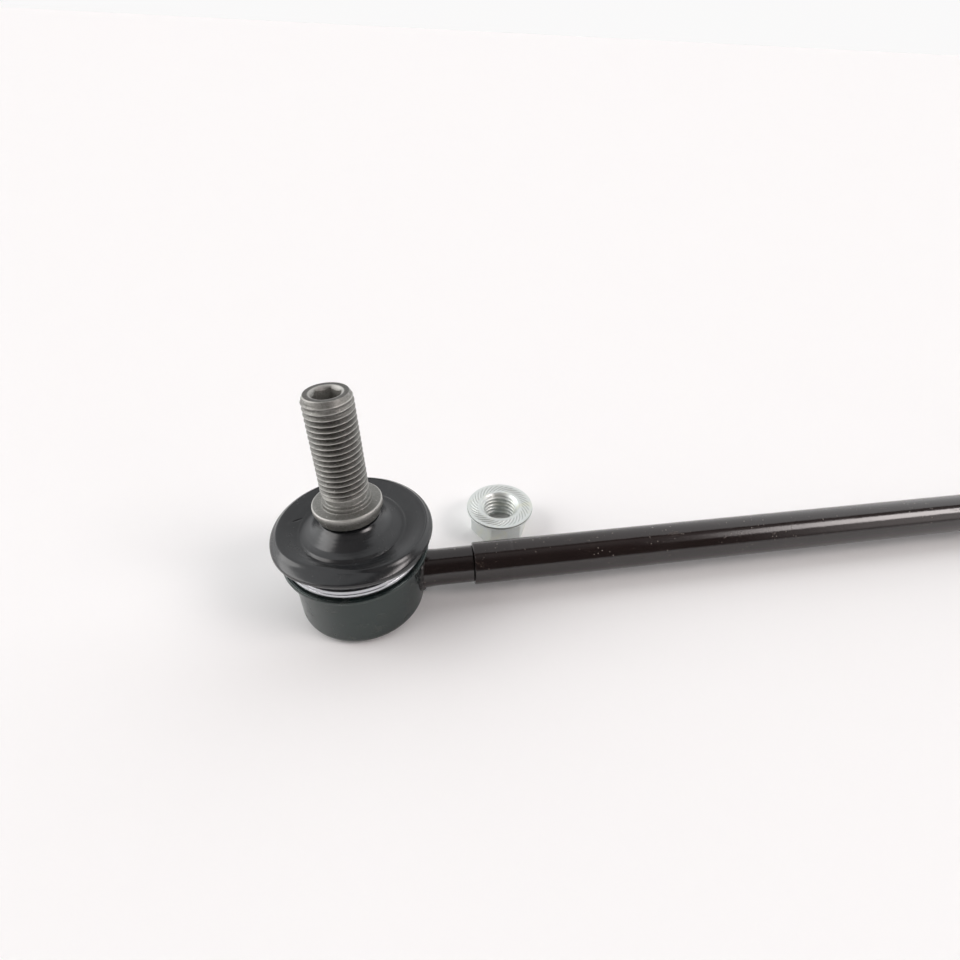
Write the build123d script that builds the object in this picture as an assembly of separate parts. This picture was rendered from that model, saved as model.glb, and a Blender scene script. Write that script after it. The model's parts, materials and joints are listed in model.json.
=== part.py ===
from build123d import *
import math
import os

# Stabilizer link: a tube with a ball joint at each end, both studs pointing up, and two flange nuts.
# Millimetres. X runs along the link from the near joint to the far one, Z is up.
# The origin is under the near ball, where its closing plate meets the surface that the link lies on.

# Whole link
centre_distance = 280.0  # between the two ball centres
rod_height = 7.3  # axis of tube and stems above the rest face
max_tilt = 20.0  # degrees that a stud can lean from the axis of its housing
near_tilt = 5.4  # degrees that the near stud leans at rest
near_tilt_heading = 105.0  # degrees from +X towards +Y in which the near stud leans
far_tilt = 3.0
far_tilt_heading = 80.0

# Ball stud, with lengths along its axis
ball_diameter = 16.0
neck_diameter = 9.2
neck_root_round = 0.3
collar_start = 16.1  # underside of the collar above the ball centre
collar_diameter = 14.8
collar_foot_diameter = 13.4
collar_foot_height = 1.9
collar_rim_height = 1.5
collar_edge = 0.35
collar_step_edge = 0.17
shoulder_diameter = 10.4
shoulder_height = 1.0
relief_diameter = 8.6
relief_length = 1.3
thread_diameter = 10.0
thread_length = 23.1
thread_start_chamfer = 0.6
tip_diameter = 8.7
tip_chamfer_length = 1.2
socket_width = 5.0  # across the flats of the hexagon socket
socket_depth = 4.5
socket_countersink = 0.35
socket_cone_depth = 1.2

# Ball seat, closing plate and housing
ball_play = 0.08  # running clearance between ball and seat
seat_wall = 2.87
seat_fit = 0.05
seat_height = 14.1
seat_grip = 4.1  # height above the ball centre up to which the seat wraps the ball
seat_flare = 1.9
grease_hole_diameter = 8.0
plate_thickness = 1.2
plate_pad_diameter = 17.2  # pressed pad that the joint stands on
plate_pad_drop = 0.8
plate_press_slope = 0.9
plate_pad_round = 0.4
plate_press_round = 0.3
plate_grip = 1.0  # radial overlap of the plate's rim and the housing
ball_floor_gap = 0.2  # ball above the closing plate
crimp_thickness = 0.5
crimp_overlap = 1.1
crimp_round = 0.2
cup_wall = 3.3
cup_bottom_round = 1.9
lip_overhang = 1.8  # flange lip beyond the housing's wall
lip_above_ball = 6.2
lip_thickness = 1.0
lip_round = 0.3
lip_root_round = 0.7
spigot_inset = 1.9  # the neck that holds the boot stands this far inside the housing's wall
spigot_height = 2.5
spigot_rim_overhang = 0.7
spigot_rim_thickness = 0.4
spigot_rim_round = 0.15
mouth_clearance = 1.0  # around the stud's neck when it leans all the way
mouth_round = 0.3

# Dust boot, its clamp ring and its bushing
boot_play = 0.15
bead_wall = 1.65
bead_foot_thickness = 0.25
bead_foot_overhang = 0.9
bead_gap = 0.1  # above and below what the bead sits between
ring_wire_height = 1.05
ring_turns = 2
ring_thickness = 1.0
ring_groove_depth = 0.2
boot_wall = 1.3
roll_start_overhang = 0.7
roll_bulge = 3.1  # widest part of the boot beyond its bead
roll_depth = 2.1  # from the widest part in to the shoulder
roll_height = 5.0  # up to the shoulder before it is rounded
roll_side_bottom = 1.9
roll_side_top = 2.6
roll_side_round = 1.0
roll_shoulder_round = 0.6
roll_slope = 28.0  # degrees, from the shoulder down to the valley
hub_radius = 6.4
hub_gap = 0.6  # between the hub and the collar
hub_height = 2.0
hub_foot_width = 2.2
hub_foot_round = 2.0
hub_slope = 20.0  # degrees, from the hub's foot down to the valley
hub_skirt_inset = 2.2  # from the shoulder in to the edge of the hub's skirt
bushing_wall = 0.8
bushing_height = 1.1
bushing_cover = 0.5  # rubber above the bushing
bushing_ledge = 0.3  # rubber below the bushing
bushing_play = 0.1

# Stem, weld and tube
stem_diameter = 8.8
stem_flare = 0.25
stem_flare_length = 4.0
stem_length = 26.5  # from the ball centre to the tube's end
tube_diameter = 10.2
tube_wall = 1.6
tube_edge = 0.3
tube_play = 0.05
insert_length = 12.0
roll_groove_depth = 0.35
roll_groove_width = 1.2
roll_groove_distance = 9.7  # from the tube's end
tube_groove_depth = 0.05
weld_leg = 0.6
weld_round = 0.15

# Flange nut, lying with its flange up
nut_width = 14.0
nut_height = 8.0
nut_flange_diameter = 18.0
nut_flange_edge = 0.9
nut_flange_slope = 0.9
nut_bore_diameter = 8.65
nut_countersink_diameter = 10.5
nut_corner_chamfer = 1.3
nut_corner_chamfer_height = 0.75
nut_edge_round = 0.25
nut_offset_x = 36.2  # from the ball centre, towards the middle of the link
nut_offset_y = 19.1
nut_turn = 5.0  # degrees

# Sizes that follow from those above
ball_radius = ball_diameter / 2
neck_radius = neck_diameter / 2
thread_radius = thread_diameter / 2
stem_radius = stem_diameter / 2
tube_radius = tube_diameter / 2
tube_bore_radius = tube_radius - tube_wall
insert_radius = tube_bore_radius - tube_play
collar_top = collar_start + collar_foot_height + collar_rim_height
thread_start = collar_top + shoulder_height + relief_length
stud_top = thread_start + thread_length
plate_top = plate_pad_drop + plate_thickness
ball_height = plate_top + ball_floor_gap + ball_radius
seat_radius = ball_radius + ball_play + seat_wall
seat_top = plate_top + seat_height
pocket_radius = seat_radius + seat_fit
plate_radius = pocket_radius + plate_grip
housing_radius = pocket_radius + cup_wall
lip_radius = housing_radius + lip_overhang
lip_bottom = ball_height + lip_above_ball
lip_top = lip_bottom + lip_thickness
spigot_radius = housing_radius - spigot_inset
rim_radius = spigot_radius + spigot_rim_overhang
rim_bottom = lip_top + spigot_height
rim_top = rim_bottom + spigot_rim_thickness
bead_bottom = lip_top + bead_gap
bead_inner_radius = spigot_radius + boot_play
bead_radius = bead_inner_radius + bead_wall
ring_inner_radius = bead_radius + boot_play
ring_radius = ring_inner_radius + ring_thickness
ring_bottom = bead_bottom + bead_foot_thickness + bead_gap
ring_top = ring_bottom + ring_turns * ring_wire_height
roll_bottom = ring_top + bead_gap
roll_radius = bead_radius + roll_bulge
shoulder_radius = roll_radius - roll_depth
hub_top = collar_start - hub_gap
bushing_top = hub_top - bushing_cover
bushing_inner_radius = neck_radius + bushing_play
bushing_radius = bushing_inner_radius + bushing_wall


def section(*outline):
    """Face within a closed outline of (radius, height, corner radius)."""
    points = [(radius, height) for radius, height, corner in outline]
    corners = [corner for radius, height, corner in outline]
    return make_face(FilletPolyline(*points, radius=corners, close=True))


def spun(face):
    """Solid turned about Z from a face of radius and height."""
    return revolve(Plane.XZ * face, Axis.Z)


def turned(*outline):
    """Solid turned about Z from a closed outline of (radius, height, corner radius)."""
    return spun(section(*outline))


def ring(inner, outer, bottom, top):
    """Plain turned ring between two radii and two heights."""
    return turned((inner, bottom, 0), (outer, bottom, 0), (outer, top, 0), (inner, top, 0))


def neck_swing(height):
    """Radius that the leaning neck reaches at a height above the ball centre."""
    lean = math.radians(max_tilt)
    return height * math.tan(lean) + neck_radius / math.cos(lean)


def leaning(tilt, heading):
    """Frame at the ball centre whose Z leans by tilt degrees towards heading."""
    lean = math.radians(tilt)
    towards = math.radians(heading)
    axis = (math.sin(lean) * math.cos(towards), math.sin(lean) * math.sin(towards), math.cos(lean))
    hinge = (-math.sin(towards), math.cos(towards), 0)
    return Plane(origin=(0, 0, ball_height), x_dir=hinge, z_dir=axis).location


def hexagon_socket():
    """Tool for the socket in the stud's tip: countersink, hexagon and drilled bottom."""
    across_corners = socket_width / math.cos(math.pi / 6)
    bottom = stud_top - socket_depth
    hexagon = extrude(Pos(0, 0, bottom) * RegularPolygon(across_corners / 2, 6), socket_depth)
    cone = turned(
        (0, bottom - socket_cone_depth, 0),
        (socket_width / 2, bottom, 0),
        (0, bottom, 0),
    )
    mouth_radius = across_corners / 2 + socket_countersink
    mouth = turned(
        (0, stud_top - mouth_radius, 0),
        (mouth_radius, stud_top, 0),
        (0, stud_top, 0),
    )
    return hexagon + cone + mouth


def ball_stud():
    """Ball, neck, collar and thread blank about Z, with the ball centre at the origin."""
    junction = math.sqrt(ball_radius**2 - neck_radius**2)
    thread_root = relief_diameter / 2
    shaft = turned(
        (0, junction / 2, 0),
        (neck_radius, junction / 2, 0),
        (neck_radius, collar_start, neck_root_round),
        (collar_foot_diameter / 2, collar_start, collar_edge),
        (collar_foot_diameter / 2 + collar_edge, collar_start + collar_foot_height, 0),
        (collar_diameter / 2, collar_start + collar_foot_height, collar_step_edge),
        (collar_diameter / 2, collar_top, collar_edge),
        (shoulder_diameter / 2, collar_top, 0),
        (shoulder_diameter / 2, collar_top + shoulder_height, 0),
        (thread_root, collar_top + shoulder_height, 0),
        (thread_root, thread_start, 0),
        (thread_radius, thread_start + thread_start_chamfer, 0),
        (thread_radius, stud_top - tip_chamfer_length, 0),
        (tip_diameter / 2, stud_top, 0),
        (0, stud_top, 0),
    )
    return Sphere(ball_radius) + shaft - hexagon_socket()


def ball_seat():
    """Plastic bearing that wraps the ball past its equator, open above for the neck."""
    grip_radius = math.sqrt((ball_radius + ball_play) ** 2 - seat_grip**2)
    shell = turned(
        (grease_hole_diameter / 2, plate_top, 0),
        (seat_radius, plate_top, 0),
        (seat_radius, seat_top, 0),
        (grip_radius + seat_flare, seat_top, 0),
        (grip_radius, ball_height + seat_grip, 0),
        (grease_hole_diameter / 2, ball_height, 0),
    )
    return shell - Pos(0, 0, ball_height) * Sphere(ball_radius + ball_play)


def closing_plate():
    """Pressed disc under the ball, with a pad that the joint stands on."""
    pad = plate_pad_diameter / 2
    return turned(
        (0, 0, 0),
        (pad, 0, plate_pad_round),
        (pad + plate_press_slope, plate_pad_drop, plate_press_round),
        (plate_radius, plate_pad_drop, 0),
        (plate_radius, plate_top, 0),
        (pad + plate_press_slope / 2, plate_top, plate_press_round),
        (pad - plate_press_slope / 2, plate_thickness, plate_pad_round),
        (0, plate_thickness, 0),
    )


def housing():
    """Steel cup with a flange lip, a spigot for the boot and a crimped bottom edge."""
    crimp_bottom = plate_pad_drop - crimp_thickness
    crimp_radius = plate_radius - crimp_overlap
    mouth_radius = neck_swing(rim_top - ball_height) + mouth_clearance
    throat_radius = neck_swing(seat_top - ball_height) + mouth_clearance
    return turned(
        (crimp_radius, crimp_bottom, crimp_round),
        (housing_radius, crimp_bottom, cup_bottom_round),
        (housing_radius, lip_bottom, lip_root_round),
        (lip_radius, lip_bottom, lip_round),
        (lip_radius, lip_top, lip_round),
        (spigot_radius, lip_top, 0),
        (spigot_radius, rim_bottom, 0),
        (rim_radius, rim_bottom, 0),
        (rim_radius, rim_top, spigot_rim_round),
        (mouth_radius, rim_top, mouth_round),
        (throat_radius, seat_top + seat_fit, 0),
        (pocket_radius, seat_top + seat_fit, 0),
        (pocket_radius, plate_top, 0),
        (plate_radius, plate_top, 0),
        (plate_radius, plate_pad_drop, 0),
        (crimp_radius, plate_pad_drop, 0),
    )


def boot_clamp_ring():
    """Flat steel wire wound in turns that lie on each other, with a groove between them."""
    outer = [(ring_inner_radius, ring_bottom, 0), (ring_radius, ring_bottom, 0)]
    for turn in range(1, ring_turns):
        seam = ring_bottom + turn * ring_wire_height
        outer.append((ring_radius, seam - ring_groove_depth / 2, 0))
        outer.append((ring_radius - ring_groove_depth, seam, 0))
        outer.append((ring_radius, seam + ring_groove_depth / 2, 0))
    outer.append((ring_radius, ring_top, 0))
    outer.append((ring_inner_radius, ring_top, 0))
    return turned(*outer)


def boot_roll():
    """Section of the boot's rolled rim, from its fold over the ring up to the shoulder."""
    slope_run = roll_height / math.tan(math.radians(roll_slope))
    return section(
        (shoulder_radius - slope_run, roll_bottom, 0),
        (bead_radius + roll_start_overhang, roll_bottom, 0),
        (roll_radius, roll_bottom + roll_side_bottom, roll_side_round),
        (roll_radius, roll_bottom + roll_side_top, roll_side_round),
        (shoulder_radius, roll_bottom + roll_height, roll_shoulder_round),
    )


def boot_hub(base, top):
    """Section of the boot's hub and its skirt, from base to top above the ball centre."""
    foot_radius = hub_radius + hub_foot_width
    foot = hub_top - hub_height
    skirt_radius = shoulder_radius - hub_skirt_inset
    skirt = foot - (skirt_radius - foot_radius) * math.tan(math.radians(hub_slope))
    return section(
        (0, base, 0),
        (skirt_radius, base, 0),
        (skirt_radius, skirt, 0),
        (foot_radius, foot, hub_foot_round),
        (hub_radius, top, 0),
        (0, top, 0),
    )


def dust_boot(tilt, heading):
    """Rubber bellows from the bead under the clamp ring up to the hub around the stud's neck."""
    foot_top = bead_bottom + bead_foot_thickness
    rim_recess = rim_bottom - boot_play
    neck_bore_radius = neck_radius + 2 * boot_play
    groove_bottom = bushing_top - bushing_height - boot_play
    groove_top = bushing_top + boot_play
    bore_bottom = roll_bottom - ball_height
    bead = turned(
        (0, bead_bottom, 0),
        (bead_radius + bead_foot_overhang, bead_bottom, 0),
        (bead_radius + bead_foot_overhang, foot_top, 0),
        (bead_radius, foot_top, 0),
        (bead_radius, roll_bottom, 0),
        (0, roll_bottom, 0),
    )
    bead_bore = turned(
        (0, bead_bottom, 0),
        (bead_inner_radius, bead_bottom, 0),
        (bead_inner_radius, rim_recess, 0),
        (rim_radius + boot_play, rim_recess, 0),
        (rim_radius + boot_play, rim_top + boot_wall, 0),
        (0, rim_top + boot_wall, 0),
    )
    neck_bore = turned(
        (0, bore_bottom, 0),
        (neck_bore_radius, bore_bottom, 0),
        (neck_bore_radius, groove_bottom, 0),
        (bushing_radius + boot_play, groove_bottom, 0),
        (bushing_radius + boot_play, groove_top, 0),
        (neck_bore_radius, groove_top, 0),
        (neck_bore_radius, hub_top + boot_wall, 0),
        (0, hub_top + boot_wall, 0),
    )
    stud_frame = leaning(tilt, heading)
    hub = boot_hub(bore_bottom, hub_top)
    deep_hub = boot_hub(bead_bottom - ball_height, groove_bottom - bushing_ledge + boot_wall)
    inner_roll = offset(boot_roll(), -boot_wall, kind=Kind.TANGENT)
    inner_hub = offset(deep_hub, -boot_wall, kind=Kind.TANGENT)
    outside = bead + spun(boot_roll()) + stud_frame * spun(hub)
    inside = spun(inner_roll) + stud_frame * spun(inner_hub)
    return outside - inside - bead_bore - stud_frame * neck_bore


def boot_bushing():
    """Slide ring in the boot's hub, about Z with the ball centre at the origin."""
    return ring(bushing_inner_radius, bushing_radius, bushing_top - bushing_height, bushing_top)


def stem():
    """Shank from the housing into the tube, along +X from the ball centre."""
    start = housing_radius - weld_leg
    groove = stem_length + roll_groove_distance
    half_groove = roll_groove_width / 2
    shank = turned(
        (0, start, 0),
        (stem_radius + stem_flare, start, 0),
        (stem_radius, start + stem_flare_length, 0),
        (stem_radius, stem_length, tube_edge),
        (insert_radius, stem_length, 0),
        (insert_radius, groove - half_groove, 0),
        (insert_radius - roll_groove_depth, groove, 0),
        (insert_radius, groove + half_groove, 0),
        (insert_radius, stem_length + insert_length, tube_edge),
        (0, stem_length + insert_length, 0),
    )
    cup = Cylinder(housing_radius, 2 * lip_bottom)
    return along_x(shank) - cup


def weld_bead():
    """Fillet of weld around the stem where it meets the housing."""
    start = housing_radius - weld_leg
    flare_radius = stem_radius + stem_flare
    bead = turned(
        (stem_radius - weld_leg, start, 0),
        (flare_radius + weld_leg, start, 0),
        (flare_radius + weld_leg, housing_radius, weld_round),
        (flare_radius, housing_radius + weld_leg, 0),
        (stem_radius - weld_leg, housing_radius + weld_leg, 0),
    )
    cup = Cylinder(housing_radius, 2 * lip_bottom)
    return along_x(bead) - cup - stem()


def along_x(solid):
    """Turn a solid made about Z onto the rod's axis, its Z becoming +X."""
    return Pos(0, 0, rod_height) * Rotation(0, 90, 0) * solid


def link_tube():
    """Tube between the stems, with a shallow rolled groove near each end."""
    middle = centre_distance / 2
    half = middle - stem_length
    groove = half - roll_groove_distance
    half_groove = roll_groove_width / 2
    outline = [
        (tube_bore_radius, -half, 0),
        (tube_radius, -half, tube_edge),
    ]
    for place in (-groove, groove):
        outline.append((tube_radius, place - half_groove, 0))
        outline.append((tube_radius - tube_groove_depth, place, 0))
        outline.append((tube_radius, place + half_groove, 0))
    outline.append((tube_radius, half, tube_edge))
    outline.append((tube_bore_radius, half, 0))
    return Pos(middle, 0, 0) * along_x(turned(*outline))


def flange_nut():
    """Hexagon nut with its flange on top, standing on the surface."""
    corner_radius = nut_width / 2 / math.cos(math.pi / 6)
    flange_radius = nut_flange_diameter / 2
    flange_bottom = nut_height - nut_flange_edge
    hexagon = extrude(RegularPolygon(corner_radius, 6), flange_bottom)
    corner_cone = turned(
        (0, 0, 0),
        (corner_radius - nut_corner_chamfer, 0, 0),
        (corner_radius, nut_corner_chamfer_height, 0),
        (corner_radius, flange_bottom, 0),
        (0, flange_bottom, 0),
    )
    flange = turned(
        (0, flange_bottom - nut_flange_slope, 0),
        (nut_width / 2, flange_bottom - nut_flange_slope, 0),
        (flange_radius, flange_bottom, nut_edge_round),
        (flange_radius, nut_height, nut_edge_round),
        (0, nut_height, 0),
    )
    bore_radius = nut_bore_diameter / 2
    mouth_radius = nut_countersink_diameter / 2
    countersink = mouth_radius - bore_radius
    bore = turned(
        (0, 0, 0),
        (mouth_radius, 0, 0),
        (bore_radius, countersink, 0),
        (bore_radius, nut_height - countersink, 0),
        (mouth_radius, nut_height, 0),
        (0, nut_height, 0),
    )
    return Rotation(0, 0, nut_turn) * ((hexagon & corner_cone) + flange - bore)


def joint_pieces(tilt, heading):
    """The pieces of one ball joint with its stem towards +X."""
    stud_frame = leaning(tilt, heading)
    return {
        "stem": stem(),
        "weld_bead": weld_bead(),
        "housing": housing(),
        "closing_plate": closing_plate(),
        "ball_seat": ball_seat(),
        "ball_stud": stud_frame * ball_stud(),
        "dust_boot": dust_boot(tilt, heading),
        "boot_clamp_ring": boot_clamp_ring(),
        "boot_bushing": stud_frame * boot_bushing(),
        "flange_nut": Pos(nut_offset_x, nut_offset_y, 0) * flange_nut(),
    }


pieces = {"link_tube": link_tube()}
for piece, shape in joint_pieces(near_tilt, near_tilt_heading).items():
    pieces["near_" + piece] = shape
for piece, shape in joint_pieces(far_tilt, 180 - far_tilt_heading).items():
    pieces["far_" + piece] = Pos(centre_distance, 0, 0) * mirror(shape, Plane.YZ)

os.makedirs("parts", exist_ok=True)
for piece, shape in pieces.items():
    export_step(shape, f"parts/{piece}.step")
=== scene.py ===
import json
import math

import bmesh
import bpy
import numpy as np
from mathutils import Euler, Matrix, Vector


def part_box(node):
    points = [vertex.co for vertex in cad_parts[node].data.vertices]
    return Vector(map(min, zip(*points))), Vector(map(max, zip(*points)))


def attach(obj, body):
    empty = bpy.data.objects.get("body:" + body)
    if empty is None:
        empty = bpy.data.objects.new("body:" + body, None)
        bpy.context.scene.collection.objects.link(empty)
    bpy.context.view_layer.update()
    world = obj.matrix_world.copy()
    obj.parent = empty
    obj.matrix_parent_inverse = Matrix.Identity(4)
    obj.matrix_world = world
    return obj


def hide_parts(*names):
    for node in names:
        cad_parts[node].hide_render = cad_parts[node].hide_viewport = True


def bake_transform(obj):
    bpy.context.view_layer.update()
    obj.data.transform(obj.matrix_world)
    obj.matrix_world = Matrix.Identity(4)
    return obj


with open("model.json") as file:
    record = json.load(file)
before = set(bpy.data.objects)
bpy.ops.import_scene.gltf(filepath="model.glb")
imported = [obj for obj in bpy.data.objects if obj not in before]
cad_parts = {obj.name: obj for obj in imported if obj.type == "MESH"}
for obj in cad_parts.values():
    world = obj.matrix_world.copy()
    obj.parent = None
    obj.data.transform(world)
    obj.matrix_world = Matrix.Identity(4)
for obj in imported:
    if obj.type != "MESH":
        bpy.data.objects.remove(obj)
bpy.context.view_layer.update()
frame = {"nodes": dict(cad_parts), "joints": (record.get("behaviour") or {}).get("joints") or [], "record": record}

# Lengths in this script are millimetres, turned into metres where a mesh or a lamp is made.
MM = 0.001
TURN = 2 * math.pi
SIDES = ("near", "far")

# Ball stud, with lengths along its axis from the ball's centre
BALL_RADIUS = 8.0
NECK_RADIUS = 4.6
COLLAR_START = 16.1
COLLAR_STEP = 18.0
COLLAR_TOP = 19.5
COLLAR_FOOT_RADIUS = 6.7
COLLAR_RADIUS = 7.4
SHOULDER_RADIUS = 5.2
SHOULDER_TOP = 20.5
RELIEF_RADIUS = 4.3
THREAD_START = 21.8
THREAD_RADIUS = 5.0
THREAD_PITCH = 1.25
THREAD_DEPTH = 0.74
THREAD_PHASE = 0.75  # puts a groove where the photo shows the first one
STUD_TOP = 44.9
TIP_RADIUS = 4.35
TIP_CHAMFER = 1.2
SOCKET_APOTHEM = 2.5
SOCKET_MOUTH_RADIUS = 3.24
SOCKET_DEPTH = 4.5
SOCKET_CONE = 1.2
SOCKET_TURN = 5.0  # degrees
STUD_COLUMNS = 96
BALL_STEPS = 40
THREAD_STEPS = 232
EDGE_HIGHLIGHT = -0.4  # value of the attribute where an edge is painted bright: a painted highlight

# Boot, clamp ring and weld
BOOT_COLUMNS = 144
BOOT_STEPS = 6
FOLD_RAISE = 1.25  # lower edge of the rolled rim, where it is pulled
SHOULDER_PUSH = 0.9  # shoulder outwards at the back
SHOULDER_PULL = 1.75  # and inwards at the front
SHOULDER_RADII = (11.6, 14.9, 16.0, 17.2)
SHOULDER_SHARES = (0, 1, 0.75, 0)
BACK_DROP = 1.1
FRONT_DROP = 0.3
PULL_HEADING = -103.0  # degrees
PULL_SPREAD = 62.0
HUB_HEADING = -100.0  # the hub's front stands higher, with a narrow groove between it and the rim
HUB_SPREAD = 90.0
HUB_RADII = (6.5, 6.7, 7.1, 7.9, 8.6, 9.2, 9.8, 10.35, 10.85, 11.35, 11.9, 12.7, 13.6, 14.5, 14.95, 15.4)
HUB_LIFTS = (0, 0.14, 0.35, 0.58, 0.58, 0.45, 0.33, 0.36, 0.44, 0.10, 0.50, 0.72, 0.55, 0.26, 0.10, 0)
BOOT_SEAM = ((11.35, 23.12, 0.25), (11.35, 22.15, 0.25))  # where rim and hub meet, outside and inside
BOOT_MARKS = (  # place, heading in degrees, half length and half width of small dark marks in the rubber
    ((-11.9, 3.5, 24.3), 32.0, 1.6, 0.36),
    ((3.6, -7.7, 24.6), 0.0, 0.28, 0.28),
    ((2.9, -6.2, 25.0), 60.0, 0.5, 0.14),
)
RING_WIDTH = 1.0
RING_CORNER = 0.22
RING_JOINT_HEADING = 62.0  # degrees, where the wire steps up to its second turn
RING_STEP_ANGLE = 16.0
RING_STEPS = 288
WELD_COLUMNS = 120
WELD_LUMPS = 17
WELD_OUTLINE = (  # outwards from the stem, and away from the housing's wall
    (0.0, -0.55), (0.25, -0.5), (0.62, -0.1), (0.62, 0.2),
    (0.4, 0.55), (0.08, 0.75), (-0.25, 0.7), (-0.25, -0.5),
)
STEM_RADIUS = 4.62
LIP_OVERHANG = 1.8  # how far the housing's lip stands out past its wall

# Flange nut, from its own axis and its lower face
NUT_APOTHEM = 7.0
NUT_HEIGHT = 8.0
NUT_TURN = 5.0
NUT_CORNER_CHAMFER = 1.3
FLANGE_RADIUS = 9.0
FLANGE_EDGE = 0.9
FLANGE_SLOPE = 0.9
NUT_BORE_RADIUS = 4.325
NUT_THREAD_DEPTH = 0.62
NUT_MOUTH_RADIUS = 5.25
BORE_STEPS = 88
TEETH = 34
TOOTH_COLUMNS = 8
TOOTH_STEPS = 16
TOOTH_DEPTH = 0.22
TOOTH_LEAN = 0.5  # radians that a tooth leans over its length
TEETH_INNER = 5.75
TEETH_OUTER = 8.25

# Floor, light and camera
FLOOR_COLOUR = (0.955, 0.95, 0.95)
CAMERA_PLACE = (0.01513, -0.09102, 0.11025)
CAMERA_TURN = (51.96, -2.329, -9.917)  # degrees
FOCAL_PIXELS = 554.31
IMAGE_PIXELS = 960
PRINCIPAL_POINT = (508.48, 463.21)
KEY_DIRECTION = (-0.80, 0.0, 0.58)
KEY_STRENGTH = 1.14
ROOM_LEVEL = 0.79
KEY_WIDTH = 46.0  # degrees


def joint(name):
    """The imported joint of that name."""
    return next(j for j in frame["joints"] if j["name"] == name)


def stud_frame(side):
    """Frame at the ball's centre, in millimetres, with Z along the stud and X along the tilt hinge."""
    spin = joint(side + "_stud_spin")
    along = Vector(spin["axis"]).normalized()
    hinge = Vector(joint(side + "_stud_tilt")["axis"])
    across = (hinge - along * hinge.dot(along)).normalized()
    turn = Matrix((across, along.cross(across), along)).transposed()
    return Matrix.Translation(Vector(spin["pos_m"]) / MM) @ turn.to_4x4()


def placed(points, matrix):
    """Points moved by a matrix."""
    m = np.array(matrix, float)
    return points @ m[:3, :3].T + m[:3, 3]


def around(columns):
    """Angles of evenly spaced columns round an axis."""
    return np.arange(columns) * TURN / columns


def rounded(outline, arc_steps=5):
    """(radius, height) points of an open outline of (radius, height, corner radius)."""
    points = [np.array(outline[0][:2], float)]
    for before, corner, after in zip(outline, outline[1:], outline[2:]):
        here = np.array(corner[:2], float)
        if not corner[2]:
            points.append(here)
            continue
        back = np.array(before[:2], float) - here
        ahead = np.array(after[:2], float) - here
        back /= np.linalg.norm(back)
        ahead /= np.linalg.norm(ahead)
        half = math.acos(np.clip(back @ ahead, -1, 1)) / 2
        reach = corner[2] / math.tan(half)
        for t in np.linspace(0, 1, arc_steps + 1):
            line = here + back * reach * (1 - t) ** 2 + ahead * reach * t**2
            points.append(line)
    points.append(np.array(outline[-1][:2], float))
    return [tuple(p) for p in points]


def ramp(value, start, end):
    """0 before start, 1 beyond end, and straight between them."""
    return np.clip((value - start) / (end - start), 0, 1)


def turned_row(radius, height, angles):
    """One closed row of points; radius and height are numbers or one value per angle."""
    radius = np.broadcast_to(radius, angles.shape)
    height = np.broadcast_to(height, angles.shape)
    return np.stack([radius * np.cos(angles), radius * np.sin(angles), height], -1)


def hexagon_radius(angles, apothem, corner_round=0.985):
    """Radius of a hexagon at each angle, with its corners slightly rounded."""
    sixth = TURN / 6
    away = (angles % sixth) - sixth / 2
    plain = apothem / np.cos(away)
    return np.minimum(plain, apothem / math.cos(sixth / 2) * corner_round)


def thread_form(turns):
    """0 on a thread's crest and 1 at its root, for places counted in turns."""
    away = np.abs((turns % 1.0) * 2 - 1)
    flank = ramp(away, 0.14, 0.88)
    return np.sin(flank * math.pi / 2) ** 1.15


def solid(name, rows, looped=False, capped=False, sharp=38.0, painted_light=None):
    """Object from rows of points in millimetres, each row closed on itself and joined to the next."""
    grid = np.stack(rows)
    count, columns = grid.shape[:2]
    first = np.arange(count if looped else count - 1)[:, None]
    column = np.arange(columns)[None, :]
    right = (column + 1) % columns
    below = (first + 1) % count
    here = (first * columns + column, first * columns + right)
    next_row = (below * columns + right, below * columns + column)
    faces = np.stack(here + next_row, -1).reshape(-1, 4).tolist()
    if capped:
        faces.append(list(range(columns))[::-1])
        faces.append(list(range((count - 1) * columns, count * columns)))
    mesh = bpy.data.meshes.new(name)
    mesh.from_pydata((grid.reshape(-1, 3) * MM).tolist(), [], faces)
    # The per-point attribute holds painted light: painted shade where it is positive, a painted highlight where it
    # is negative.
    if painted_light is not None:
        layer = mesh.attributes.new("painted_light", "FLOAT", "POINT")
        layer.data.foreach_set("value", np.stack(painted_light).astype(np.float32).ravel())
    tidy = bmesh.new()
    tidy.from_mesh(mesh)
    bmesh.ops.remove_doubles(tidy, verts=tidy.verts, dist=2e-6)
    bmesh.ops.dissolve_degenerate(tidy, edges=tidy.edges, dist=1e-6)
    bmesh.ops.recalc_face_normals(tidy, faces=tidy.faces)
    tidy.to_mesh(mesh)
    tidy.free()
    mesh.shade_smooth()
    mesh.set_sharp_from_angle(angle=math.radians(sharp))
    made = bpy.data.objects.new(name, mesh)
    bpy.context.scene.collection.objects.link(made)
    return made


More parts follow.
